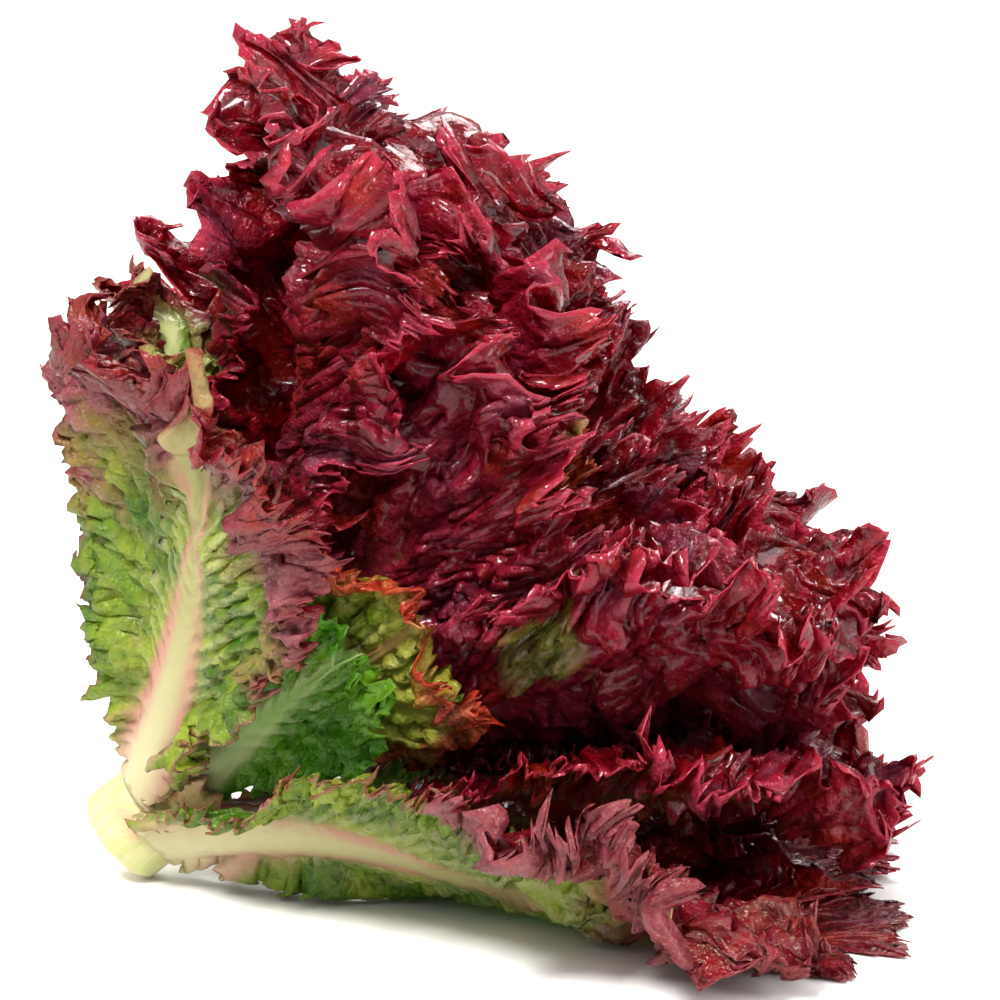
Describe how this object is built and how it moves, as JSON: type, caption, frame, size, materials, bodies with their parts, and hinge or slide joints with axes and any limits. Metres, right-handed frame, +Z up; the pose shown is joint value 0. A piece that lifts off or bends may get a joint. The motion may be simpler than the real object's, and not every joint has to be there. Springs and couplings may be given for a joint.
{
  "type": "lollo rosso lettuce",
  "caption": "Head of red curly loose-leaf lettuce lying on its side, with a cut stem and separate frilled leaves that go from green at the base to dark red at the edge.",
  "frame": {"origin": "middle of the lying head's outline, on the surface that it lies on", "axes": "+Z up from the surface; the cut stem end is towards -X and the leaf edges open towards +X and +Z; -Y is the front, the side with the torn leaf base"},
  "size_m": [0.2127, 0.2279, 0.2157],
  "materials": {
    "stem_flesh": "satin",
    "torn_base": "matte",
    "red_leaf": "satin",
    "heart_leaf": "satin",
    "green_leaf": "satin"
  },
  "bodies": {
    "root": {"stem": "stem_flesh", "torn_base": "torn_base", "leaf_01": "red_leaf", "leaf_02": "red_leaf", "leaf_03": "red_leaf", "leaf_04": "red_leaf", "leaf_05": "red_leaf", "leaf_06": "red_leaf", "leaf_07": "green_leaf", "leaf_08": "red_leaf", "leaf_09": "red_leaf", "leaf_10": "red_leaf", "leaf_11": "red_leaf", "leaf_12": "red_leaf", "leaf_13": "red_leaf", "leaf_14": "red_leaf", "leaf_15": "red_leaf", "leaf_16": "red_leaf", "leaf_17": "red_leaf", "leaf_18": "heart_leaf", "leaf_19": "red_leaf", "leaf_20": "red_leaf", "leaf_21": "red_leaf", "leaf_22": "heart_leaf", "leaf_23": "heart_leaf"}
  },
  "joints": []
}
